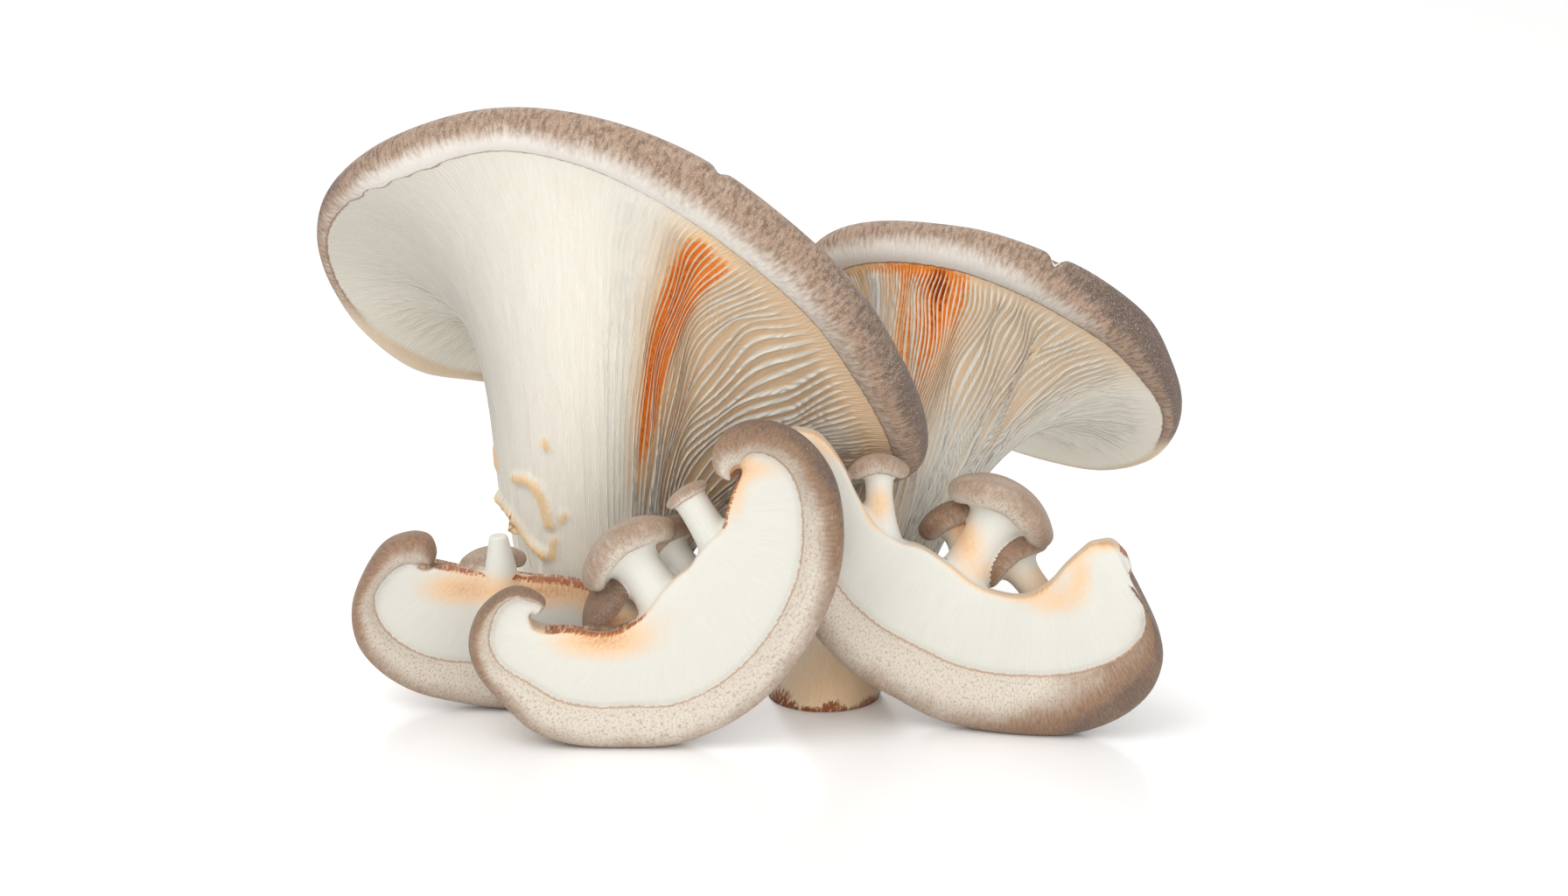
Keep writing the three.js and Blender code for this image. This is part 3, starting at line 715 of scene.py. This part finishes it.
# A row is the outer edge's x and z, the inner edge's x and z, the width of the band of skin and
# the depth y of the cut.
FRONT_CUT = [
    [-43.5, 29.2, -44, 29.2, 0.5, 6.5],
    [-41.5, 31.7, -44.5, 30.2, 0.5, 6.5],
    [-44.5, 34.2, -45, 29.2, 1.5, 6.5],
    [-48.5, 34.7, -45, 28.7, 1.5, 6.5],
    [-52.5, 32.7, -44.5, 27.2, 2, 6.5],
    [-56, 28.7, -43.5, 26.2, 3.5, 6.5],
    [-57.5, 22.7, -40.5, 25.7, 4.5, 6.5],
    [-55.5, 16.2, -37, 26.2, 5.5, 6.5],
    [-50.5, 10, -32.5, 25.7, 7.5, 6.5],
    [-44.5, 4.2, -28, 25.7, 9, 6.5],
    [-36, 1.3, -23.5, 27.7, 9.5, 6.5],
    [-26, 0.7, -20, 31.2, 9.5, 6.5],
    [-15.5, 1.3, -17.5, 34.7, 9, 6.5],
    [-5.5, 5, -14.5, 37.7, 9, 6.5],
    [3.5, 11.4, -12, 39.7, 9, 6.5],
    [11, 20.7, -10.5, 42.2, 8.5, 6.5],
    [17, 32.2, -8, 45.2, 8.5, 6.5],
    [19.5, 43.7, -5.5, 47.7, 8.5, 6.5],
    [18.5, 55.7, -4.5, 51.7, 8, 6.5],
    [14.5, 63.7, -3.5, 54.7, 7, 6.5],
    [8.5, 68.7, -2.5, 57.2, 6.5, 6.5],
    [2, 70.2, -1.5, 59.2, 6.5, 6.5],
    [-3.5, 68.7, -1, 60.2, 7.5, 6.5],
    [-7, 64.7, -2, 60.7, 11, 6.5],
    [-7, 60.2, -3, 59.7, 11, 6.5],
    [-4.5, 58.2, -3, 58.2, 11, 6.5],
]
HOOD_FRONT = {
    "at": (-17, 11, 28.7), "lean": -36, "pitch": 14, "height": 13.5,
    "stem": (6, 4), "cap": (7.4, 6), "roll": 2.5, "droop": 2.5,
}
PEG_FRONT = {
    "at": (-5.5, 9.5, 41.2), "lean": -32, "pitch": 8, "height": 13,
    "stem": (4.5, 3.2), "cap": (3.8, 3.6), "roll": 0.8, "droop": 0.4,
}
CAP_LOW_FRONT = {
    "at": (-21, 16.5, 22.6), "lean": -58, "pitch": -24, "height": 9,
    "stem": (4, 3), "cap": (5.2, 5), "roll": 2, "droop": 1,
}
CAP_HIGH_FRONT = {
    "at": (-11, 16, 32.3), "lean": -38, "pitch": 20, "height": 9.5,
    "stem": (4, 3), "cap": (5.2, 4.6), "roll": 2.2, "droop": 1.5,
}

# How far a cut piece sinks into the surface, which gives it a flat spot, how far round its edge
# the band and the back reach in degrees, and the width from which it is at its full thickness.
SINK = 0.4
BAND_TURN, BACK_TURN = 150, 165
FULL_WIDTH = 14


def cut_half(name, rows, front, back, dark):
    """The half mushroom of a table of rows, before its side mushrooms are joined to it.
    dark says how dark the skin is at t from one curled end to the other, painted shade included
    where a piece's band faces away from the main lamp."""
    lengths, band, flesh, behind = 261, 40, 34, 46
    t = np.linspace(0, 1, lengths + 1)
    ox, oz, ix, iz, width, depth = through(rows, t, False).T[:, :, None]
    wide = np.maximum(np.hypot(ix - ox, iz - oz), 0.2)
    thin = np.sqrt(np.minimum(1, wide / FULL_WIDTH))
    strip = np.clip(width, 0.1, 0.85 * wide)
    turn = np.radians(BAND_TURN) * np.linspace(0, 1, band)
    share = np.linspace(0, 1, flesh + 1)[1:]
    round_back = np.radians(BACK_TURN) * (1 - np.linspace(0, 1, behind + 1)[:-1])
    s_band = strip / 2 * (1 - np.cos(turn))
    b_band = -front * np.sin(turn) + 0 * strip
    s_flesh = s_band[:, -1:] + (wide - s_band[:, -1:]) * share
    lip = 0.09 * np.exp(-(((s_flesh - strip) / 0.8) ** 2))
    b_flesh = -front * (0.45 + 0.24 * share * (1 - share) - 0.1 * share**4 - lip)
    s_back = wide / 2 * (1 - np.cos(round_back))
    b_back = back * np.sin(round_back) ** 0.8 + 0 * wide
    s = np.concatenate([s_band, s_flesh, s_back], axis=1)
    b = np.concatenate([b_band, b_flesh, b_back], axis=1)
    x = ox + (ix - ox) * s / wide
    z = oz + (iz - oz) * s / wide
    grid = np.stack([x, depth + b * thin, z], -1)
    grid[0], grid[-1] = grid[0].mean(0), grid[-1].mean(0)
    grid[..., 2] = np.maximum(grid[..., 2] - grid[..., 2].min() - SINK, 0)
    piece, column, ring = ball(name, grid.shape[1], lengths)
    on_front = np.arange(grid.shape[1]) < band + flesh
    from_rim = np.where(on_front, strip - s, np.minimum(s, 9) + 1)
    crest = np.where(on_front, s / np.maximum(strip, 0.1), 0)
    tone = dark(t)[:, None] + 0.5 * ease(0.65, 0.0, crest) - 0.5 * ease(0.35, 0.95, crest)
    stride = np.linalg.norm(np.diff(grid.mean(1), axis=0), axis=-1)
    run = np.concatenate([[0], np.cumsum(stride)])[:, None] * 1.4 + 0 * s
    skin_run = np.cumsum(np.hypot(np.diff(s, axis=1, prepend=0), np.diff(b, axis=1, prepend=0)), axis=1)
    lay = np.stack([run, 0 * s, skin_run], -1)
    inner = wide - s
    tan = np.where(on_front, 0, 1 - ease(0.5, 4, inner))
    lay_on(
        piece,
        column,
        ring,
        grid,
        {
            "from_rim": from_rim,
            "tone": np.clip(tone, 0, 1.3),
            "inner": inner,
            "tan": tan,
            "lay": lay,
        },
    )
    return piece


def side_mushroom(name, at, lean, pitch, height, stem, cap, roll, droop, dark=0.65):
    """A small mushroom, made upright and then leant over and set on its foot. Its cap is a hood
    whose ends droop."""
    columns, rings_under, rings_rolled, rings_on_top = 96, 24, 20, 12
    turn = 2 * math.pi * np.arange(8) / 8
    level = height - droop * np.cos(turn) ** 2
    same = np.ones(8)
    rim = [cap[0] * np.cos(turn), cap[1] * np.sin(turn), level]
    rim += [roll * same, stem[1] * same, stem[1] * same, (height - 0.2 * roll) * same, 0 * same]
    shape = {
        "foot": (0, 0, stem[0]),
        "waist": (0, 0),
        "throat": (0, 0),
        "rim": np.stack(rim, 1),
        "crown": (0, 0, height + 2 * roll + 0.15 * cap[0]),
        "axis": (0, 0, 1),
    }
    u = np.arange(columns) / columns
    part_under = np.arange(rings_under + 1) / rings_under
    part_rolled = np.arange(1, rings_rolled + 1) / rings_rolled
    part_on_top = np.arange(1, rings_on_top + 1) / rings_on_top
    below = [underside(shape, u, t + 0 * u) for t in part_under]
    rim = [rolled(shape, u, t + 0 * u) for t in part_rolled]
    top = [dome(shape, u, t + 0 * u) for t in part_on_top]
    grid = np.array([below[0] * (0, 0, 1), *below, *rim, *top])
    part = np.concatenate([[-1], part_under - 1, part_rolled, 1 + part_on_top])
    step = np.linalg.norm(np.diff(grid, axis=0), axis=-1)
    run = np.concatenate([np.zeros((1, columns)), np.cumsum(step, axis=0)])
    from_rim = run - run[rings_under + 1]
    pose = Matrix.Translation(at) @ Euler(
        (math.radians(-pitch), math.radians(lean), 0), "YXZ"
    ).to_matrix().to_4x4()
    pose = np.array(pose)
    across = np.broadcast_to(u, grid.shape[:2])
    part = np.broadcast_to(part[:, None], grid.shape[:2])
    lay = spun(across, part, from_rim, cap[0] + roll)
    grid = grid @ pose[:3, :3].T + pose[:3, 3]
    piece, column, ring = ball(name, columns, len(grid) - 1)
    tone = dark - 0.6 * (1 - ease(0.05, 0.6, part)) + 0 * across
    notes = {"from_rim": from_rim, "tone": tone, "inner": 9 + 0 * tone, "tan": 0 * tone, "lay": lay}
    lay_on(piece, column, ring, grid, notes)
    return piece


# The notes that a join carries over, each with the field and the count of its numbers.
CARRIED = (
    ("from_rim", "value", 1),
    ("tone", "value", 1),
    ("inner", "value", 1),
    ("tan", "value", 1),
    ("lay", "vector", 3),
)


def grown_together(name, pieces, grain, feet, patches, torn):
    """Joins the pieces into one skin with soft joins at the feet, and carries their notes over.
    grain is how fine the skin is in millimetres. A patch of warm colour is its x and z, its two
    widths and its strength, and a torn, brown stretch of the inner edge its x, z and reach."""
    soft_all_over, soft_at_joins = 4, 30
    sources, notes = [], []
    for piece in pieces:
        place = np.empty(len(piece.data.vertices) * 3)
        piece.data.vertices.foreach_get("co", place)
        sources.append(place.reshape(-1, 3))
        rows = []
        for key, field, size in CARRIED:
            values = np.empty(len(piece.data.vertices) * size)
            piece.data.attributes[key].data.foreach_get(field, values)
            rows.append(values.reshape(-1, size))
        notes.append(np.concatenate(rows, axis=1))
    sources, notes = np.concatenate(sources), np.concatenate(notes)
    bpy.ops.object.select_all(action="DESELECT")
    for piece in pieces:
        piece.select_set(True)
    whole = pieces[0]
    bpy.context.view_layer.objects.active = whole
    bpy.ops.object.join()
    whole.name = name
    whole.data.name = name
    remesh = whole.modifiers.new("one_skin", "REMESH")
    remesh.mode = "VOXEL"
    remesh.voxel_size = grain / 1000
    bpy.ops.object.modifier_apply(modifier=remesh.name)
    place = np.empty(len(whole.data.vertices) * 3)
    whole.data.vertices.foreach_get("co", place)
    place = place.reshape(-1, 3)
    joins = whole.vertex_groups.new(name="joins")
    near = np.zeros(len(place))
    for foot, reach in feet:
        away = np.linalg.norm(place - metres(foot), axis=1) * 1000
        near = np.maximum(near, 1 - ease(0.7 * reach, 1.3 * reach, away))
    for level in range(1, 11):
        chosen = np.flatnonzero(np.rint(near * 10) == level)
        joins.add(chosen.tolist(), level / 10, "REPLACE")
    for group, times in (("", soft_all_over), ("joins", soft_at_joins)):
        smooth = whole.modifiers.new("soften", "SMOOTH")
        smooth.factor = 0.5
        smooth.iterations = times
        smooth.vertex_group = group
        bpy.ops.object.modifier_apply(modifier=smooth.name)
    whole.data.vertices.foreach_get("co", place.reshape(-1))
    tree = kdtree.KDTree(len(sources))
    for index, point in enumerate(sources):
        tree.insert(point, index)
    tree.balance()
    carried = np.zeros((len(place), notes.shape[1]))
    for index, point in enumerate(place):
        found = tree.find_n(point, 3)
        weight = np.array([1 / (away + 1e-5) for _, _, away in found])
        carried[index] = weight @ notes[[k for _, k, _ in found]] / weight.sum()
    x, _, z = (place * 1000 + MIDDLE).T
    warm = np.zeros(len(place))
    for px, pz, rx, rz, strength in patches:
        warm += strength * np.exp(-(((x - px) / rx) ** 2) - ((z - pz) / rz) ** 2)
    warm = warm + 0.22 * (1 - ease(0, 1.3, carried[:, 2]))
    crust = np.zeros(len(place))
    for px, pz, reach in torn:
        along = 1 - ease(0.8 * reach, reach, np.hypot(x - px, z - pz))
        crust = np.maximum(crust, 0.85 * along * (1 - ease(0.1, 1.4, carried[:, 2])))
    flesh = carried[:, 0] < 0
    kept = {
        "from_rim": carried[:, 0],
        "tone": carried[:, 1],
        "warm": np.clip(warm, 0, 1) * flesh,
        "valley": 0 * warm,
        "dim": 0 * warm,
        "crust": crust,
        "tan": carried[:, 3],
        "lay": carried[:, 4:],
    }
    for key in [a.name for a in whole.data.attributes if a.name in kept]:
        whole.data.attributes.remove(whole.data.attributes[key])
    for key, values in kept.items():
        kind, field = ("FLOAT", "value") if values.ndim == 1 else ("FLOAT_VECTOR", "vector")
        note = whole.data.attributes.new(key, kind, "POINT")
        note.data.foreach_set(field, values.astype(np.float32).ravel())
    bpy.ops.object.shade_smooth()
    return whole


def front_dark(t):
    """How dark the front piece's skin is: least at the bottom and most where its top turns over.
    The dark up its right side is partly painted shade, where the band faces away from the main
    lamp.
    """
    dark = 0.65 - 0.6 * bump(t, 0.33, 0.66, 0.1)
    dark = dark + 0.2 * bump(t, 0.68, 0.86, 0.06)
    return dark - 0.35 * ease(0.86, 0.95, t)


front = grown_together(
    "cut_mushroom_front_grown",
    [
        cut_half("front_half", FRONT_CUT, 5, 9, front_dark),
        side_mushroom("front_hood", **HOOD_FRONT),
        side_mushroom("front_peg", **PEG_FRONT),
        side_mushroom("front_cap_low", **CAP_LOW_FRONT, dark=1.2),
        side_mushroom("front_cap_high", **CAP_HIGH_FRONT, dark=1.2),
    ],
    grain=0.36,
    feet=[((-18, 7.5, 31.2), 7), ((-7, 6.5, 43.2), 6)],
    patches=[
        (-30, 23.7, 11, 4.5, 0.62),
        (-16, 29.2, 10, 4, 0.12),
        (-3, 57, 3, 9, 0.45),
        (1, 60, 7, 3, 0.35),
    ],
    torn=[(-31, 25.2, 12), (-5, 53.2, 7)],
)
cut_finish = mushroom_finish(
    "cut_mushroom",
    pits=0.5,
    lines=0,
    hairy=0.6,
    silver=(209, 199, 185),
    brown=(144, 112, 86),
    pale=((208, 206, 197), (220, 218, 209)),
    glow=((228, 194, 156), (196, 134, 86)),
    edge_line=(176, 132, 98),
)
front.data.materials.append(cut_finish)
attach(front, "root")
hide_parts("cut_mushroom_front")

# The piece at the left is another half, with a stub left where a side mushroom was cut off and a
# small cap behind the stub.
LEFT_CUT = [
    [-67, 30.5, -67.5, 30.5, 3.5, 32],
    [-65.5, 33, -68.5, 31, 7.5, 31],
    [-67, 36.8, -69.5, 30.8, 7.5, 30],
    [-71.5, 37.5, -69.5, 30.3, 7, 30],
    [-77, 35, -68, 30.3, 6.5, 30],
    [-81.3, 28.5, -67, 30.3, 5.5, 30],
    [-83.5, 21.5, -65, 31, 5.5, 30],
    [-82.5, 14, -61.5, 30.5, 7, 30],
    [-78, 8, -58, 30, 8, 30],
    [-71, 3.5, -54, 29.5, 9, 30],
    [-62, 1, -49.5, 29, 10, 30],
    [-51, -0.5, -45, 28.5, 10, 30],
    [-40, -0.5, -39.5, 28, 10, 30],
    [-31, 2, -35, 27, 10, 30],
    [-25, 7.5, -31, 25.5, 8.5, 30],
    [-23, 13.5, -28, 23, 7, 31],
    [-25, 19, -26, 20, 3.5, 32],
]
CAP_LEFT = {
    "at": (-53, 36, 19.5), "lean": -6, "pitch": 10, "height": 9.5,
    "stem": (3.5, 2.5), "cap": (5, 4.4), "roll": 1.8, "droop": 0.8,
}
STUB_LEFT = {"at": (-51.5, 30, 20), "lean": -3, "height": 18, "stem": (5.5, 1.9)}


def stub(name, at, lean, height, stem):
    """A side stem cut off flat, tapering from a wide foot."""
    bpy.ops.object.select_all(action="DESELECT")
    sides, cuts = 48, 6
    bpy.ops.mesh.primitive_cone_add(
        vertices=sides, radius1=stem[0] / 1000, radius2=stem[1] / 1000, depth=height / 1000
    )
    piece = bpy.context.object
    piece.name = name
    bpy.ops.object.mode_set(mode="EDIT")
    bpy.ops.mesh.select_all(action="SELECT")
    bpy.ops.mesh.subdivide(number_cuts=cuts)
    bpy.ops.object.mode_set(mode="OBJECT")
    lift = Matrix.Translation((0, 0, height / 2000))
    tilt = Matrix.Rotation(math.radians(lean), 4, "Y")
    piece.data.transform(Matrix.Translation(metres(at)) @ tilt @ lift)
    count = len(piece.data.vertices)
    for key, kind, field, value in (
        ("from_rim", "FLOAT", "value", [-6.0]),
        ("tone", "FLOAT", "value", [0.0]),
        ("inner", "FLOAT", "value", [9.0]),
        ("tan", "FLOAT", "value", [0.0]),
        ("lay", "FLOAT_VECTOR", "vector", [0.0, 0.0, 0.0]),
    ):
        piece.data.attributes.new(key, kind, "POINT").data.foreach_set(field, value * count)
    return piece


left_cut = grown_together(
    "cut_mushroom_left_grown",
    [
        cut_half("left_half", LEFT_CUT, 4.5, 12, lambda t: 0.55 - 0.45 * ease(0.35, 0.7, t)),
        stub("left_stub", **STUB_LEFT),
        side_mushroom("left_cap", **CAP_LEFT),
    ],
    grain=0.34,
    feet=[((-51.5, 28, 24), 7)],
    patches=[(-62, 27, 8, 4, 0.4), (-42, 26.5, 16, 4, 0.6), (-30, 21, 5, 5, 0.4)],
    torn=[(-58, 31, 9), (-42, 28, 14)],
)
left_cut.data.materials.append(cut_finish)
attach(left_cut, "root")
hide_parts("cut_mushroom_left")

# The piece at the right is a third half. A small hood and a thick-stemmed mushroom that leans
# right grow from it, with two brown caps behind them.
RIGHT_CUT = [
    [9, 64.5, 10, 64, 0.5, 21],
    [6.5, 58, 15, 62.5, 0.5, 21],
    [6, 48, 19.5, 56.5, 2, 21],
    [6.5, 37, 22.5, 50, 6.5, 21],
    [10, 27.3, 26, 44.4, 9.5, 20.5],
    [14.5, 19.1, 31, 40.6, 11, 20.5],
    [21.5, 12.2, 36, 39.3, 12, 19.5],
    [30, 7.2, 41.5, 36.1, 12.5, 18.4],
    [39, 2.6, 47.5, 31.7, 13, 17.6],
    [49, 0.8, 53, 30.2, 13, 15.8],
    [58.5, 0.4, 57.5, 30.7, 13.5, 13.8],
    [68, 1.2, 62, 33.7, 13.5, 12.8],
    [77, 5, 65, 37.7, 12.5, 11.8],
    [83, 10.4, 67.5, 40.2, 10.5, 11.8],
    [85.5, 17.1, 70, 42.3, 8, 11.8],
    [84.9, 22.9, 72.2, 42.6, 6, 12.2],
    [82.8, 27.5, 74, 42.6, 4.2, 12.6],
    [80, 31.7, 75.6, 41.7, 2.2, 13.1],
    [77.9, 34.3, 76.8, 40.7, 0.6, 13.4],
    [79, 36.7, 77.8, 39.5, 0.4, 13.8],
]
HOOD_SMALL_RIGHT = {
    "at": (27.2, 23.5, 39.5), "lean": -1, "pitch": 14, "height": 13.5,
    "stem": (4.5, 2.4), "cap": (3.8, 3.6), "roll": 1.7, "droop": 1.2,
}
HOOD_RIGHT = {
    "at": (42.8, 23.5, 27.7), "lean": 30, "pitch": 10, "height": 19.5,
    "stem": (6.5, 4.2), "cap": (7.8, 6.4), "roll": 2.8, "droop": 2.6,
}
CAP_LEFT_OF_HOOD = {
    "at": (46.8, 28.5, 29.2), "lean": -15, "pitch": 22, "height": 11,
    "stem": (4, 3), "cap": (5, 4.5), "roll": 2.5, "droop": 1.2,
}
CAP_RIGHT_OF_HOOD = {
    "at": (62, 24, 24.7), "lean": -36, "pitch": 16, "height": 11,
    "stem": (3.5, 3), "cap": (5.4, 4.6), "roll": 2.2, "droop": 1.5,
}
right_cut = grown_together(
    "cut_mushroom_right_grown",
    [
        # Its skin darkens towards its right end: partly its own brown, partly painted shade where the
        # band faces away from the main lamp.
        cut_half("right_half", RIGHT_CUT, 5, 11, lambda t: 0.15 + 1.15 * ease(0.42, 0.68, t)),
        side_mushroom("right_hood_small", **HOOD_SMALL_RIGHT),
        side_mushroom("right_hood", **HOOD_RIGHT),
        side_mushroom("right_cap_left", **CAP_LEFT_OF_HOOD, dark=1.1),
        side_mushroom("right_cap_right", **CAP_RIGHT_OF_HOOD, dark=1.1),
    ],
    grain=0.37,
    feet=[((43, 18.5, 31.7), 8), ((27.2, 20, 42), 6)],
    patches=[
        (45, 39, 4, 5, 0.5),
        (50, 33, 5, 3, 0.3),
        (27, 47, 3, 4, 0.45),
        (62, 30, 7, 4, 0.4),
        (68, 36, 3, 5, 0.4),
        (74, 42, 6, 2, 0.4),
        (14, 58, 4, 8, 0.35),
    ],
    torn=[(78.5, 39, 3)],
)
right_cut.data.materials.append(cut_finish)
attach(right_cut, "root")
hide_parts("cut_mushroom_right")
